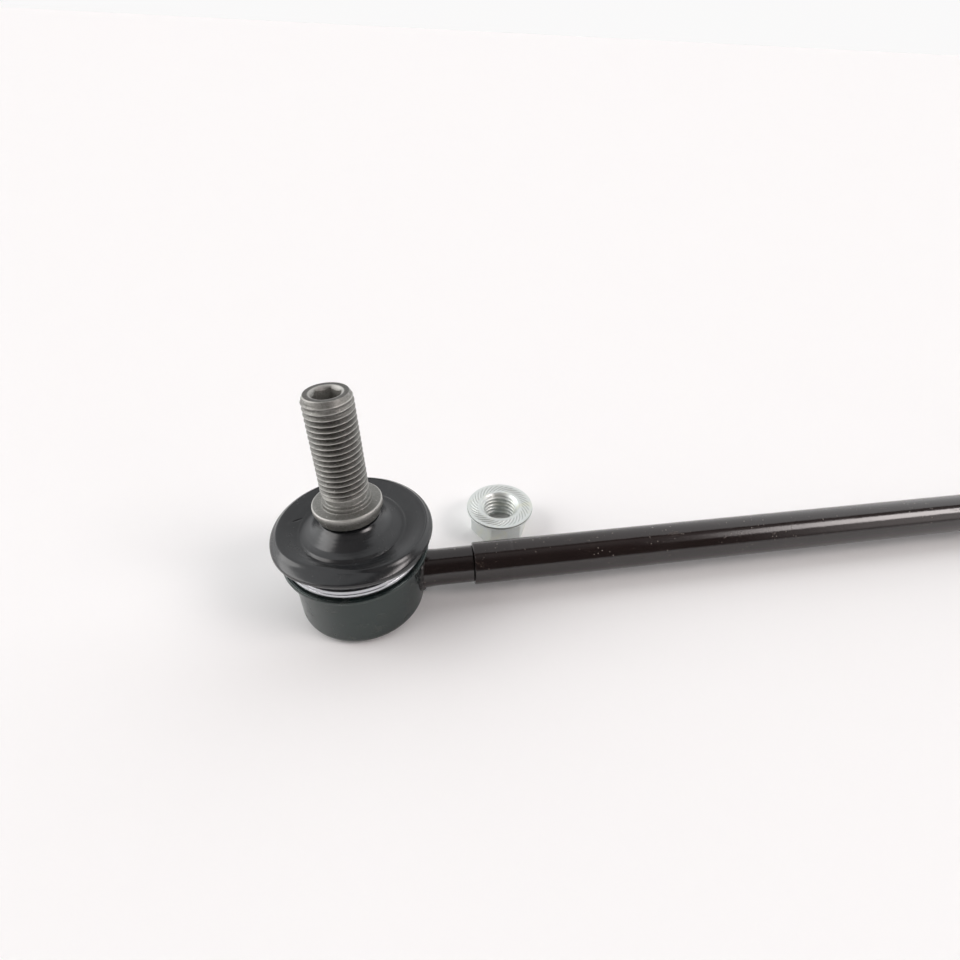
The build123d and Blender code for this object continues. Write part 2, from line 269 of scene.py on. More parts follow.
class Finish:
    """A procedural material, with short ways to add the nodes that the finishes share."""

    def __init__(self, name, metallic=0.0, roughness=0.5, **sockets):
        self.material = bpy.data.materials.new(name)
        self.material.use_nodes = True
        self.nodes = self.material.node_tree.nodes
        self.links = self.material.node_tree.links
        self.shader = self.nodes["Principled BSDF"]
        self.shader.inputs["Metallic"].default_value = metallic
        self.shader.inputs["Roughness"].default_value = roughness
        for socket, value in sockets.items():
            self.shader.inputs[socket.replace("_", " ")].default_value = value
        self.place = self.nodes.new("ShaderNodeTexCoord").outputs["Object"]

    def stretched(self, scale):
        """Object coordinates in millimetres, times a factor for each axis."""
        node = self.nodes.new("ShaderNodeMapping")
        node.inputs["Scale"].default_value = [s / MM for s in scale]
        self.links.new(self.place, node.inputs["Vector"])
        return node.outputs["Vector"]

    def noise(self, size, detail=3.0, rough=0.55, warp=0.0, stretch=(1, 1, 1)):
        """Noise whose features are about size millimetres wide, from 0 to 1."""
        node = self.nodes.new("ShaderNodeTexNoise")
        node.inputs["Scale"].default_value = 1 / size
        node.inputs["Detail"].default_value = detail
        node.inputs["Roughness"].default_value = rough
        node.inputs["Distortion"].default_value = warp
        self.links.new(self.stretched(stretch), node.inputs["Vector"])
        return node.outputs["Fac"]

    def dots(self, spacing, radius, stretch=(1, 1, 1)):
        """1 inside scattered specks of about radius millimetres, 0 elsewhere."""
        node = self.nodes.new("ShaderNodeTexVoronoi")
        node.inputs["Scale"].default_value = 1 / spacing
        self.links.new(self.stretched(stretch), node.inputs["Vector"])
        return self.level(node.outputs["Distance"], radius / spacing, 0.5 * radius / spacing, 0, 1)

    def mark(self, place, heading, long, wide):
        """1 inside an upright ellipse round a place, with its half length and half width in millimetres."""
        node = self.nodes.new("ShaderNodeMapping")
        node.vector_type = "TEXTURE"
        node.inputs["Location"].default_value = [p * MM for p in place]
        node.inputs["Rotation"].default_value = (0, 0, math.radians(heading))
        node.inputs["Scale"].default_value = (long * MM, wide * MM, 2 * MM)
        self.links.new(self.place, node.inputs["Vector"])
        length = self.nodes.new("ShaderNodeVectorMath")
        length.operation = "LENGTH"
        self.links.new(node.outputs["Vector"], length.inputs[0])
        return self.level(length.outputs["Value"], 1.0, 0.6, 0, 1)

    def level(self, value, low, high, to_low=0.0, to_high=1.0):
        """Value spread from low..high onto to_low..to_high and held there beyond."""
        node = self.nodes.new("ShaderNodeMapRange")
        self.links.new(value, node.inputs["Value"])
        limits = {"From Min": low, "From Max": high, "To Min": to_low, "To Max": to_high}
        for socket, number in limits.items():
            node.inputs[socket].default_value = number
        return node.outputs["Result"]

    def sum(self, first, second, how="ADD"):
        """Two values, or a value and a number, put together."""
        node = self.nodes.new("ShaderNodeMath")
        node.operation = how
        for socket, item in zip(node.inputs, (first, second)):
            if isinstance(item, (int, float)):
                socket.default_value = item
            else:
                self.links.new(item, socket)
        return node.outputs["Value"]

    def blend(self, share, first, second):
        """Colour from first to second by share; each is a colour or an output."""
        node = self.nodes.new("ShaderNodeMix")
        node.data_type = "RGBA"
        self.links.new(share, node.inputs["Factor"])
        for name, item in (("A", first), ("B", second)):
            socket = next(s for s in node.inputs if s.name == name and s.type == "RGBA")
            if isinstance(item, tuple):
                socket.default_value = (*item, 1)
            else:
                self.links.new(item, socket)
        return next(s for s in node.outputs if s.type == "RGBA")

    def attribute(self, name):
        """Value that a mesh carries at its points."""
        node = self.nodes.new("ShaderNodeAttribute")
        node.attribute_name = name
        return node.outputs["Fac"]

    def bump(self, height, depth, onto=None):
        """Normal bent by a height from 0 to 1 that stands for depth millimetres."""
        node = self.nodes.new("ShaderNodeBump")
        node.inputs["Strength"].default_value = 1.0
        node.inputs["Distance"].default_value = depth * MM
        self.links.new(height, node.inputs["Height"])
        if onto is not None:
            self.links.new(onto, node.inputs["Normal"])
        return node.outputs["Normal"]

    def finish(self, colour, roughness=None, normal=None):
        """Join colour, roughness and normal to the shader."""
        self.links.new(colour, self.shader.inputs["Base Color"])
        if roughness is not None:
            self.links.new(roughness, self.shader.inputs["Roughness"])
        if normal is not None:
            self.links.new(normal, self.shader.inputs["Normal"])
        return self.material


def tube_paint():
    """Gloss black paint with a brown cast, faint runs, dust nibs, rubbed places, and pale grit that also stands
    for painted glints.
    """
    f = Finish("tube_paint", roughness=0.12, Specular_IOR_Level=0.7)
    cloud = f.noise(9.0, detail=4)
    run = f.noise(2.2, detail=2, stretch=(0.25, 1, 1))
    rub = f.level(f.noise(3.5, detail=6, rough=0.7, warp=1.5, stretch=(0.5, 1, 1)), 0.62, 0.70)
    nibs = f.dots(5.5, 0.28)
    # Pale grit specks, which also stand for painted glints sparkling along the tube.
    grit_and_glints = f.sum(f.dots(1.1, 0.17), f.level(f.noise(9.0, detail=2), 0.46, 0.56), "MULTIPLY")
    colour = f.blend(cloud, (0.010, 0.0055, 0.005), (0.019, 0.012, 0.011))
    colour = f.blend(f.level(rub, 0, 1, 0, 0.55), colour, (0.060, 0.042, 0.032))
    colour = f.blend(f.level(nibs, 0, 1, 0, 0.6), colour, (0.20, 0.19, 0.17))
    colour = f.blend(f.level(grit_and_glints, 0, 1, 0, 0.75), colour, (0.27, 0.24, 0.20))
    roughness = f.sum(f.level(run, 0.3, 0.7, 0.07, 0.15), f.level(rub, 0, 1, 0, 0.25))
    normal = f.bump(run, 0.012)
    normal = f.bump(f.noise(0.6, detail=4, rough=0.65), 0.018, normal)
    normal = f.bump(nibs, 0.04, normal)
    normal = f.bump(grit_and_glints, 0.03, normal)
    return f.finish(colour, roughness, normal)


def housing_coat():
    """Dark grey-green satin coating with smudges and a few pale specks."""
    f = Finish("housing_coat", roughness=0.2, Specular_IOR_Level=0.64, Specular_Tint=(0.88, 1.0, 0.97, 1))
    cloud = f.noise(6.0, detail=5)
    smudge = f.level(f.noise(2.5, detail=5, warp=0.8), 0.52, 0.68)
    specks = f.dots(4.5, 0.20)
    colour = f.blend(cloud, (0.004, 0.008, 0.008), (0.011, 0.019, 0.018))
    colour = f.blend(f.level(smudge, 0, 1, 0, 0.5), colour, (0.040, 0.040, 0.036))
    colour = f.blend(f.level(specks, 0, 1, 0, 0.7), colour, (0.25, 0.25, 0.24))
    roughness = f.sum(f.level(cloud, 0.3, 0.7, 0.14, 0.22), f.level(smudge, 0, 1, 0, 0.15))
    normal = f.bump(f.noise(1.3, detail=3), 0.008)
    normal = f.bump(f.noise(0.25, detail=2), 0.002, normal)
    return f.finish(colour, roughness, normal)


def boot_rubber():
    """Charcoal rubber with a soft sheen, faint flow marks, dust and droplets."""
    f = Finish("boot_rubber", roughness=0.21, Sheen_Weight=0.04, Sheen_Roughness=0.4, Specular_IOR_Level=0.62)
    cloud = f.noise(8.0, detail=4)
    bloom = f.level(f.noise(3.0, detail=6, rough=0.65, warp=0.6), 0.5, 0.75)
    dust = f.dots(1.7, 0.10)
    drops = f.dots(6.0, 0.30)
    colour = f.blend(cloud, (0.008, 0.008, 0.010), (0.016, 0.018, 0.019))
    colour = f.blend(f.level(bloom, 0, 1, 0, 0.3), colour, (0.038, 0.040, 0.040))
    colour = f.blend(f.level(dust, 0, 1, 0, 0.5), colour, (0.16, 0.16, 0.15))
    marks = [f.mark(*mark) for mark in BOOT_MARKS]
    nick = f.sum(f.sum(marks[0], marks[1], "MAXIMUM"), marks[2], "MAXIMUM")
    colour = f.blend(nick, colour, (0.008, 0.008, 0.008))
    roughness = f.sum(f.level(cloud, 0.3, 0.7, 0.16, 0.25), f.level(bloom, 0, 1, 0, 0.10))
    roughness = f.sum(roughness, f.level(drops, 0, 1, 0, 0.2), "SUBTRACT")
    normal = f.bump(f.noise(0.35, detail=3), 0.004)
    normal = f.bump(f.noise(4.0, detail=2), 0.03, normal)
    normal = f.bump(drops, 0.03, normal)
    normal = f.bump(f.level(nick, 0, 1, 1, 0), 0.3, normal)
    return f.finish(colour, roughness, normal)


def stud_steel():
    """Dull phosphated steel with grain and bright nicks, painted shade in the thread roots and the socket, and a
    painted highlight on crests and edges.
    """
    f = Finish("stud_steel", metallic=0.85, roughness=0.45)
    cloud = f.noise(2.4, detail=5)
    grain = f.noise(0.42, detail=4, rough=0.75)
    nicks = f.level(f.noise(0.8, detail=4, rough=0.75), 0.63, 0.72)
    painted_light = f.attribute("painted_light")
    # Painted shade in the thread roots and the socket, broken up by the grain.
    root_shade = f.sum(painted_light, f.level(grain, 0.2, 0.8, 0.7, 1.1), "MULTIPLY")
    colour = f.blend(cloud, (0.22, 0.219, 0.206), (0.37, 0.366, 0.348))
    colour = f.blend(f.level(grain, 0.35, 0.7, 0, 0.62), colour, (0.13, 0.13, 0.115))
    # Painted highlight on crests and edges.
    colour = f.blend(f.level(painted_light, -0.4, -0.1, 0.55, 0), colour, (0.66, 0.65, 0.62))
    colour = f.blend(nicks, colour, (0.70, 0.69, 0.66))
    # Blend in the painted shade.
    colour = f.blend(f.level(root_shade, 0.15, 0.9, 0, 0.88), colour, (0.030, 0.027, 0.023))
    roughness = f.sum(f.level(cloud, 0.3, 0.7, 0.42, 0.54), f.level(nicks, 0, 1, 0, 0.14), "SUBTRACT")
    normal = f.bump(grain, 0.055)
    normal = f.bump(cloud, 0.03, normal)
    return f.finish(colour, roughness, normal)


def nut_zinc():
    """Bright zinc plating with a faint cool and yellow passivation, and painted shade in its tooth roots, rim
    groove and bore.
    """
    f = Finish("nut_zinc", metallic=0.6, roughness=0.28)
    cloud = f.noise(3.0, detail=4)
    tint = f.level(f.noise(5.0, detail=3, warp=0.7), 0.5, 0.7)
    grain = f.noise(0.35, detail=3, rough=0.65)
    painted_light = f.attribute("painted_light")
    colour = f.blend(cloud, (0.70, 0.74, 0.725), (0.82, 0.85, 0.835))
    colour = f.blend(f.level(tint, 0, 1, 0, 0.45), colour, (0.78, 0.78, 0.62))
    # Painted shade in the tooth roots, the rim's groove and the bore's thread roots.
    colour = f.blend(f.level(painted_light, 0, 1, 0, 0.85), colour, (0.16, 0.165, 0.14))
    roughness = f.level(grain, 0.3, 0.7, 0.34, 0.46)
    normal = f.bump(grain, 0.008)
    return f.finish(colour, roughness, normal)


def ring_steel():
    """Bright drawn spring steel with fine lines along the wire."""
    f = Finish("ring_steel", metallic=1.0, roughness=0.22)
    lines = f.noise(0.22, detail=3, rough=0.7, stretch=(0.05, 0.05, 1))
    cloud = f.noise(3.0, detail=3)
    colour = f.blend(lines, (0.44, 0.45, 0.47), (0.64, 0.65, 0.68))
    roughness = f.level(cloud, 0.3, 0.7, 0.17, 0.30)
    normal = f.bump(lines, 0.006)
    return f.finish(colour, roughness, normal)


def weld_coat():
    """Black paint over a rough weld."""
    f = Finish("weld_coat", roughness=0.3)
    cloud = f.noise(0.8, detail=5, rough=0.65)
    colour = f.blend(cloud, (0.006, 0.005, 0.005), (0.020, 0.017, 0.016))
    roughness = f.level(cloud, 0.3, 0.7, 0.2, 0.5)
    normal = f.bump(cloud, 0.05)
    return f.finish(colour, roughness, normal)


def plate_coat():
    """Satin coating of the pressed plate, rubbed where it stands."""
    f = Finish("plate_coat", roughness=0.3)
    cloud = f.noise(4.0, detail=4)
    rub = f.level(f.noise(1.6, detail=6, rough=0.7), 0.55, 0.65)
    colour = f.blend(cloud, (0.018, 0.021, 0.021), (0.034, 0.038, 0.037))
    colour = f.blend(f.level(rub, 0, 1, 0, 0.5), colour, (0.085, 0.085, 0.082))
    roughness = f.level(cloud, 0.3, 0.7, 0.25, 0.42)
    normal = f.bump(f.noise(0.6, detail=3), 0.008)
    return f.finish(colour, roughness, normal)


def moulded(name, dark, light):
    """Moulded plastic with a faint flow pattern."""
    f = Finish(name, roughness=0.4)
    flow = f.noise(3.0, detail=3, warp=1.0)
    colour = f.blend(flow, dark, light)
    roughness = f.level(flow, 0.3, 0.7, 0.34, 0.46)
    normal = f.bump(f.noise(0.5, detail=3), 0.004)
    return f.finish(colour, roughness, normal)


def dress(made, node, body, slot):
    """Give a new piece its finish, put it on the given body, and hide the CAD node in its place."""
    made.data.materials.append(finishes[slot])
    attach(made, body)
    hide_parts(node)
    return made


def ball_rows(angles):
    """Rows of the ball from its lowest point up to the neck."""
    neck_angle = math.asin(NECK_RADIUS / BALL_RADIUS)
    steps = np.linspace(0, math.pi - neck_angle, BALL_STEPS)
    return [turned_row(BALL_RADIUS * math.sin(t), -BALL_RADIUS * math.cos(t), angles) for t in steps]


def collar_rows(angles):
    """Rows of the neck, the stepped collar, the shoulder and the relief groove, with a painted highlight on the
    collar's top rim.
    """
    outline = [
        (NECK_RADIUS, 7.0, 0),
        (NECK_RADIUS, COLLAR_START, 0.4),
        (COLLAR_FOOT_RADIUS, COLLAR_START, 0.35),
        (COLLAR_FOOT_RADIUS + 0.1, COLLAR_STEP - 0.35, 0.15),
        (COLLAR_RADIUS, COLLAR_STEP, 0.25),
        (COLLAR_RADIUS + 0.02, COLLAR_TOP, 0.38),
        (COLLAR_RADIUS - 1.4, COLLAR_TOP - 0.05, 0),
        (SHOULDER_RADIUS, COLLAR_TOP - 0.02, 0.25),
        (SHOULDER_RADIUS, SHOULDER_TOP, 0.3),
        (RELIEF_RADIUS, SHOULDER_TOP + 0.1, 0.4),
        (RELIEF_RADIUS, THREAD_START - 0.1, 0),
    ]
    points = rounded(outline)[1:]
    rows = [turned_row(radius, height, angles) for radius, height in points]
    # The collar's top rim gets a painted highlight.
    highlighted = [radius > COLLAR_RADIUS - 0.3 and height > COLLAR_TOP - 0.4 for radius, height in points]
    return rows, [np.full(angles.shape, EDGE_HIGHLIGHT * edge) for edge in highlighted]


def thread_rows(angles):
    """Rows of the rolled thread with its chamfered ends, and each point's painted light: painted shade by how deep
    it lies in a groove, a painted highlight on the crests.
    """
    rows, painted_light = [], []
    tip_start = STUD_TOP - TIP_CHAMFER
    for height in np.linspace(THREAD_START, STUD_TOP, THREAD_STEPS):
        turns = height / THREAD_PITCH - angles / TURN + THREAD_PHASE
        run_in = ramp(height, THREAD_START + 0.3, THREAD_START + 1.5)
        run_out = ramp(height, tip_start + 2.4, tip_start - 3.6)
        depth = thread_form(turns) * THREAD_DEPTH * run_in * run_out
        start = RELIEF_RADIUS + (height - THREAD_START) * (THREAD_RADIUS - RELIEF_RADIUS) / 0.6
        tip = THREAD_RADIUS - max(0.0, height - tip_start) * (THREAD_RADIUS - TIP_RADIUS) / TIP_CHAMFER
        limit = min(THREAD_RADIUS, start, tip)
        radius = np.minimum(THREAD_RADIUS - depth, limit)
        rows.append(turned_row(radius, height, angles))
        # Painted shade deepens towards the roots, and the crests get a painted highlight.
        crest = ramp(depth, THREAD_DEPTH / 12, 0)
        painted_light.append(ramp(depth, 0, THREAD_DEPTH) ** 1.6 + EDGE_HIGHLIGHT * crest)
    return rows, painted_light


def socket_rows(angles):
    """Rows from the end face down the countersink and the hexagon to the drilled bottom."""
    hexagon = hexagon_radius(angles - math.radians(SOCKET_TURN), SOCKET_APOTHEM, 1.0)
    meeting = STUD_TOP - (SOCKET_MOUTH_RADIUS - hexagon)
    bottom = STUD_TOP - SOCKET_DEPTH
    rows = [
        turned_row(TIP_RADIUS - 0.12, STUD_TOP, angles),
        turned_row(SOCKET_MOUTH_RADIUS + 0.3, STUD_TOP, angles),
        turned_row(SOCKET_MOUTH_RADIUS + 0.08, STUD_TOP, angles),
        turned_row(SOCKET_MOUTH_RADIUS - 0.05, STUD_TOP - 0.06, angles),
        turned_row(hexagon + 0.05, meeting + 0.05, angles),
        turned_row(hexagon, meeting - 0.06, angles),
        turned_row(hexagon, bottom, angles),
        turned_row(SOCKET_APOTHEM * 0.99, bottom - 0.02, angles),
        turned_row(0.0, bottom - SOCKET_CONE, angles),
    ]
    # Painted shade on the end face and down in the socket, and a painted highlight on the mouth's edge.
    painted_light = [0.7, 0.7, EDGE_HIGHLIGHT, EDGE_HIGHLIGHT, 0, 0, 0.3, 0.8, 0.8]
    return rows, [np.full(angles.shape, g) for g in painted_light]


def ball_stud(side):
    """Ball, neck, collar and threaded shank with a hexagon socket."""
    angles = around(STUD_COLUMNS)
    ball = ball_rows(angles)
    collar, collar_painted_light = collar_rows(angles)
    thread, thread_painted_light = thread_rows(angles)
    socket, socket_painted_light = socket_rows(angles)
    # The ball has no painted light; the collar, thread and socket carry theirs.
    no_painted_light = [np.zeros(angles.shape)] * len(ball)
    rows = [placed(row, stud_frame(side)) for row in ball + collar + thread + socket]
    made = solid(side + "_stud", rows, painted_light=no_painted_light + collar_painted_light + thread_painted_light + socket_painted_light)
    return dress(made, side + "_ball_stud", side + "_stud", "stud_steel")


def nut_outside(angles):
    """Rows of the nut from its lower mouth up the hexagon and over the flange to its teeth."""
    hexagon = hexagon_radius(angles, NUT_APOTHEM)
    corner = NUT_APOTHEM / math.cos(TURN / 12)
    edge_bottom = NUT_HEIGHT - FLANGE_EDGE
    slope = FLANGE_SLOPE / (FLANGE_RADIUS - NUT_APOTHEM)
    chamfer_start = corner - NUT_CORNER_CHAMFER
    chamfer = np.maximum(0.0, (hexagon - chamfer_start) * 0.577)
    under = edge_bottom - (FLANGE_RADIUS - hexagon) * slope
    rows = [
        turned_row(chamfer_start - 0.3, 0.0, angles),
        turned_row(chamfer_start, 0.0, angles),
        turned_row(hexagon - 0.02, chamfer + 0.08, angles),
        turned_row(hexagon, chamfer + 0.25, angles),
        turned_row(hexagon, under - 0.25, angles),
        turned_row(hexagon + 0.05, under - 0.08, angles),
        turned_row(hexagon + 0.22, under + 0.1, angles),
    ]
    for share in (0.5, 0.85):
        radius = hexagon + (FLANGE_RADIUS - 0.12 - hexagon) * share
        rows.append(turned_row(radius, edge_bottom - (FLANGE_RADIUS - radius) * slope, angles))
    rim = rounded([
        (FLANGE_RADIUS - 0.12, edge_bottom, 0),
        (FLANGE_RADIUS, edge_bottom + 0.1, 0.1),
        (FLANGE_RADIUS, NUT_HEIGHT - 0.52, 0.08),
        (FLANGE_RADIUS - 0.26, NUT_HEIGHT - 0.46, 0.03),
        (FLANGE_RADIUS - 0.18, NUT_HEIGHT, 0.05),
        (FLANGE_RADIUS - 0.32, NUT_HEIGHT - 0.04, 0),
        (FLANGE_RADIUS - 0.36, NUT_HEIGHT - 0.04, 0),
    ])
    painted_light = [0.0] * len(rows)
    for radius, height in rim:
        rows.append(turned_row(radius, height, angles))
        # Painted shade in the groove under the rim's lip.
        in_groove = FLANGE_RADIUS - 0.3 < radius < FLANGE_RADIUS - 0.2 and height < NUT_HEIGHT - 0.1
        painted_light.append(float(in_groove))
    return rows, [np.full(angles.shape, g) for g in painted_light]


def nut_teeth(angles):
    """Rows across the flange's face, with leaning saw teeth that end before its rim."""
    rows, painted_light = [], []
    for radius in np.linspace(TEETH_OUTER + 0.05, TEETH_INNER - 0.05, TOOTH_STEPS):
        share = (radius - TEETH_INNER) / (TEETH_OUTER - TEETH_INNER)
        inside = ramp(min(share, 1 - share), 0, 0.2)
        saw = ((angles + TOOTH_LEAN * share) * TEETH / TURN) % 1.0
        cut = np.minimum(saw / 0.8, (1 - saw) / 0.2)
        height = NUT_HEIGHT - 0.04 - TOOTH_DEPTH * (1 - cut) * inside
        rows.append(turned_row(radius, height, angles))
        # Painted shade in the roots of the teeth.
        painted_light.append(np.clip(1 - 1.6 * cut, 0, 1) * inside * 0.7)
    return rows, painted_light


def nut_bore(angles):
    """Rows down the threaded bore, from the upper countersink to the lower one."""
    rows, painted_light = [], []
    sink = NUT_MOUTH_RADIUS - NUT_BORE_RADIUS
    for height in np.linspace(NUT_HEIGHT, 0, BORE_STEPS):
        turns = height / THREAD_PITCH - angles / TURN
        mouth = max(0.0, height - (NUT_HEIGHT - sink), sink - height)
        groove = (1 - thread_form(turns)) * NUT_THREAD_DEPTH
        radius = np.maximum(NUT_BORE_RADIUS + groove, NUT_BORE_RADIUS + mouth)
        rows.append(turned_row(radius, height, angles))
        # Faint painted shade in the roots of the bore's thread.
        painted_light.append(ramp(groove, 0, NUT_THREAD_DEPTH) ** 3 * 0.1)
    return rows, painted_light


def flange_nut(side):
    """Hexagon nut with a serrated flange, lying with the flange up."""
    angles = around(TEETH * TOOTH_COLUMNS)
    outside, outside_painted_light = nut_outside(angles)
    teeth, teeth_painted_light = nut_teeth(angles)
    bore, bore_painted_light = nut_bore(angles)
    low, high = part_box(side + "_flange_nut")
    centre = (low + high) / 2 / MM
    turn = math.radians(NUT_TURN)
    if side == "far":
        turn = math.pi - turn
    place = Matrix.Translation((centre.x, centre.y, low.z / MM)) @ Matrix.Rotation(turn, 4, "Z")
    rows = [placed(row, place) for row in outside + teeth + bore]
    painted_light = outside_painted_light + teeth_painted_light + bore_painted_light
    made = solid(side + "_nut", rows, looped=True, sharp=32.0, painted_light=painted_light)
    return dress(made, side + "_flange_nut", side + "_nut", "nut_zinc")


def boot_section():
    """Closed section of the boot as (radius, height, share that follows the stud) control points."""
    return [
        (12.62, 17.52, 0), (13.9, 17.50, 0), (15.0, 17.50, 0), (15.1, 17.62, 0), (15.0, 17.75, 0),
        (14.35, 17.80, 0), (14.2, 18.0, 0), (14.2, 19.0, 0), (14.2, 19.85, 0),
        (14.35, 20.05, 0), (14.9, 20.12, 0), (15.5, 20.42, 0), (16.2, 20.9, 0),
        (16.85, 21.45, 0), (17.22, 22.0, 0), (17.3, 22.5, 0), (17.15, 23.0, 0),
        (16.6, 23.65, 0), (15.95, 24.25, 0), (15.5, 24.66, 0), (15.25, 24.8, 0), (14.95, 24.8, 0),
        (14.5, 24.6, 0), (13.6, 24.1, 0), (12.7, 23.65, 0), (11.9, 23.3, 0.1), (11.35, 23.12, 0.25),
        (10.85, 23.08, 0.4),
        (10.35, 23.16, 0.6), (9.8, 23.3, 0.8), (9.2, 23.48, 0.95), (8.6, 23.7, 1), (7.9, 24.12, 1),
        (7.1, 24.8, 1), (6.7, 25.3, 1), (6.5, 25.58, 1), (6.2, 25.68, 1), (5.6, 25.7, 1),
        (5.0, 25.68, 1), (4.78, 25.55, 1), (4.78, 25.35, 1), (5.0, 25.25, 1), (5.6, 25.22, 1),
        (5.9, 25.0, 1), (6.3, 24.5, 1), (6.9, 23.85, 1), (7.7, 23.25, 1), (8.5, 22.85, 1), (9.2, 22.6, 0.95),
        (9.8, 22.4, 0.8), (10.35, 22.3, 0.6), (10.85, 22.2, 0.4), (11.35, 22.15, 0.25), (12.0, 22.1, 0.1),
        (13.2, 22.4, 0), (14.2, 22.9, 0), (15.0, 23.2, 0), (15.6, 22.95, 0), (15.95, 22.4, 0),
        (15.85, 21.9, 0), (15.1, 21.5, 0), (14.2, 21.2, 0), (13.5, 20.9, 0), (13.28, 20.5, 0),
        (13.26, 20.1, 0), (13.22, 19.82, 0), (12.75, 19.76, 0), (12.6, 19.5, 0), (12.58, 18.5, 0),
    ]


def facing(angles, heading, spread):
    """1 at a heading in degrees, falling smoothly to 0 at spread degrees to either side."""
    away = (angles - math.radians(heading) + math.pi) % TURN - math.pi
    side = np.clip(1 - np.abs(away) / math.radians(spread), 0, 1)
    return side * side * (3 - 2 * side)


def boot_pull(radius, height, angles):
    """How far the boot is drawn out and up, all round, because its stud leans to one side."""
    front = facing(angles, PULL_HEADING, PULL_SPREAD)
    back = 1 - facing(angles, PULL_HEADING, 2 * PULL_SPREAD)
    fold = ramp(height, 25.2, 22.8) * ramp(height, 20.0, 20.9) * ramp(radius, 14.6, 16.0)
    upper = ramp(height, 20.6, 22.1)
    shoulder = np.interp(radius, SHOULDER_RADII, SHOULDER_SHARES) * upper
    out = (SHOULDER_PUSH * back - SHOULDER_PULL * front) * shoulder
    hub = np.interp(radius, HUB_RADII, HUB_LIFTS) * upper * facing(angles, HUB_HEADING, HUB_SPREAD)
    drop = (BACK_DROP * back + FRONT_DROP * front) * shoulder
    return out, FOLD_RAISE * front * fold + hub - drop


def smooth_loop(points, steps):
    """Points of a smooth curve through a closed run of points."""
    p = np.array(points, float)
    before, after, later = np.roll(p, 1, 0), np.roll(p, -1, 0), np.roll(p, -2, 0)
    bend = 2 * before - 5 * p + 4 * after - later
    twist = 3 * p - before - 3 * after + later
    curve = []
    for t in np.arange(steps) / steps:
        curve.append(0.5 * (2 * p + (after - before) * t + bend * t**2 + twist * t**3))
    return np.stack(curve, 1).reshape(-1, p.shape[1])


def dust_boot(side):
    """Rubber boot in two pieces that meet in its groove: a rolled rim, and a hub whose inner part is tilted along
    the stud's axis.
    """
    spin = joint(side + "_stud_spin")
    ball = np.array(spin["pos_m"]) / MM
    lean = Vector((0, 0, 1)).rotation_difference(Vector(spin["axis"])).to_matrix()
    angles = around(BOOT_COLUMNS)
    rows = []
    for radius, height, share in smooth_loop(boot_section(), BOOT_STEPS):
        out, up = boot_pull(radius, height, angles)
        upright = turned_row(radius + out, height - ball[2] + up, angles)
        leaning = upright @ np.array(lean).T
        rows.append(ball + upright * (1 - share) + leaning * share)
    top, bottom = (boot_section().index(point) * BOOT_STEPS for point in BOOT_SEAM)
    rim = solid(side + "_boot_rim", rows[bottom:] + rows[:top + 1], looped=True, sharp=80.0)
    dress(rim, side + "_dust_boot", side + "_swivel", "boot_rubber")
    hub = solid(side + "_boot_hub", rows[top:bottom + 1], looped=True, sharp=80.0)
    hub.data.materials.append(finishes["boot_rubber"])
    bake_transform(hub)
    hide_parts(side + "_dust_boot")


def clamp_ring(side):
    """Flat wire wound in two turns around the foot of the boot, stepping up where its ends meet."""
    low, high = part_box(side + "_boot_clamp_ring")
    centre = (low + high) / 2 / MM
    outer = (high.x - low.x) / 2 / MM
    inner = outer - RING_WIDTH
    wire = (high.z - low.z) / 2 / MM
    middle = (inner + outer) / 2
    half_width = (outer - inner) / 2
    section = []
    for across, up in ((1, -1), (1, 1), (-1, 1), (-1, -1)):
        for step in range(4):
            turn = math.atan2(up, across) + (step / 3 - 0.5) * math.pi / 2
            outward = across * (half_width - RING_CORNER) + RING_CORNER * math.cos(turn)
            upward = up * (wire / 2 - RING_CORNER) + RING_CORNER * math.sin(turn)
            section.append((outward, upward))
    across, up = np.array(section).T
    way = 1 if side == "near" else -1
    first = math.radians(RING_JOINT_HEADING)
    gap = math.radians(RING_STEP_ANGLE)
    rows = []
    for turn in np.linspace(0.02, 2 * TURN - gap - 0.02, RING_STEPS):
        lift = ramp(turn, TURN - gap, TURN)
        level = low.z / MM + wire / 2 + wire * (3 - 2 * lift) * lift**2
        heading = first + turn
        radius = middle + across
        rows.append(np.stack([
            centre.x + way * radius * math.cos(heading),
            centre.y + radius * math.sin(heading),
            level + up * 0.995,
        ], -1))
    made = solid(side + "_ring", rows, capped=True, sharp=50.0)
    return dress(made, side + "_boot_clamp_ring", "link", "ring_steel")


def weld_bead(side):
    """Lumpy ring of weld where the stem leaves the housing."""
    way = 1 if side == "near" else -1
    ball = np.array(joint(side + "_stud_spin")["pos_m"]) / MM
    tube_low, tube_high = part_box("link_tube")
    cup_low, cup_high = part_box(side + "_housing")
    axis_height = (tube_low.z + tube_high.z) / 2 / MM
    wall = (cup_high.x - cup_low.x) / 2 / MM - LIP_OVERHANG
    angles = around(WELD_COLUMNS)
    wave = np.sin(angles * WELD_LUMPS + 1.3 * np.sin(angles * 2))
    lump = 0.5 + 0.5 * wave * np.cos(angles * 3.0 + 0.4)
    rows = []
    for out, along in WELD_OUTLINE:
        radius = STEM_RADIUS + out * (0.8 + 0.35 * lump)
        y = radius * np.cos(angles)
        z = radius * np.sin(angles)
        x = np.sqrt(wall**2 - y**2) + along * (0.85 + 0.3 * lump)
        rows.append(np.stack([ball[0] + way * x, y, axis_height + z], -1))
    made = solid(side + "_weld", rows, looped=True, sharp=70.0)
    return dress(made, side + "_weld_bead", "link", "weld_coat")


def finish_cad_nodes():
    """Give each CAD node the finish of its material slot."""
    for part in frame["record"]["subparts"]:
        node = frame["nodes"][part["node"]]
        node.data.materials.clear()
        node.data.materials.append(finishes[part["material_slot"]])


